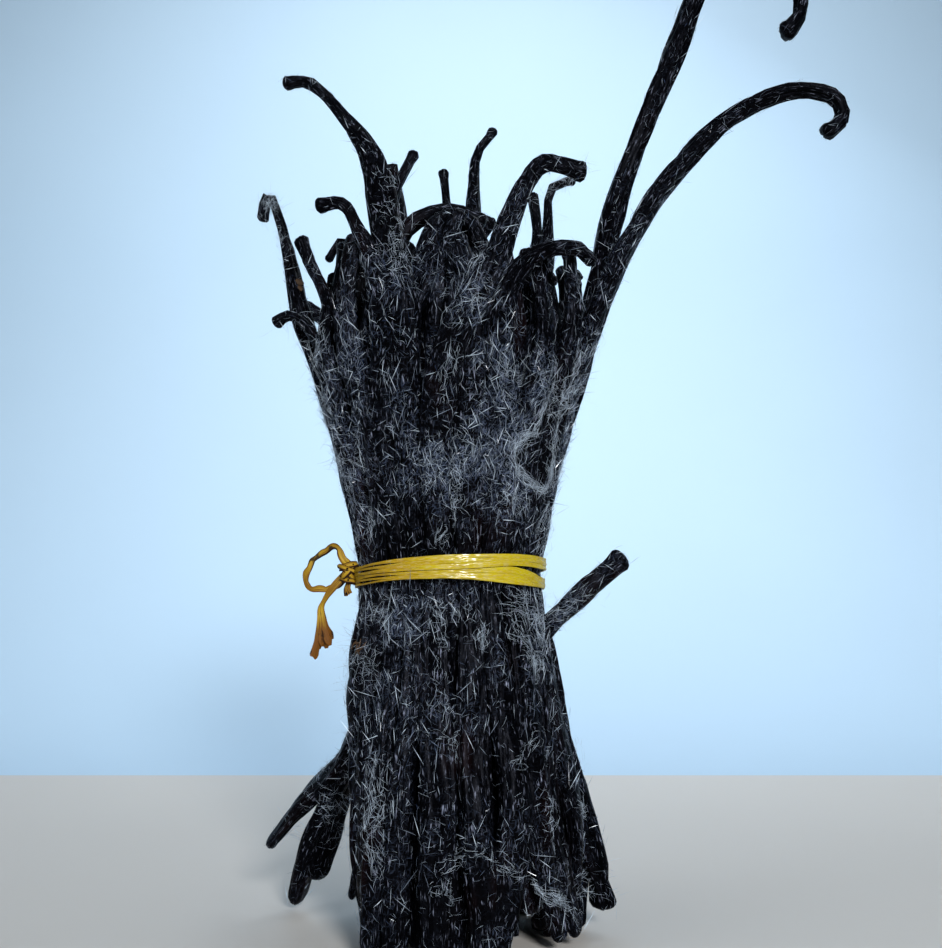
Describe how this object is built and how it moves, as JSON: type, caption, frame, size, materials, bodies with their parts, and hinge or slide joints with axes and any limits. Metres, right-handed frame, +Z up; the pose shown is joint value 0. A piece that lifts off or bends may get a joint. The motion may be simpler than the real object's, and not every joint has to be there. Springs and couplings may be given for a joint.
{
  "type": "bundle of vanilla pods",
  "caption": "Tight upright bundle of dark cured vanilla pods with curling stem ends, frosted with fine crystals and tied at the waist with yellow raffia.",
  "frame": {"origin": "the spot on the table under the bundle's axis", "axes": "+Z up along the pods, from their blossom ends to their stem ends; -Y is the front, and +X the side the tall pods lean to"},
  "size_m": [0.1123, 0.0594, 0.1885],
  "materials": {
    "vanilla_pods": "black-brown, oily, wrinkled lengthwise, with white needle crystals",
    "raffia_tie": "glossy bright yellow raffia strip, amber at the knot"
  },
  "bodies": {
    "root": {"vanilla_pods": "vanilla_pods", "raffia_tie": "raffia_tie"}
  },
  "joints": []
}
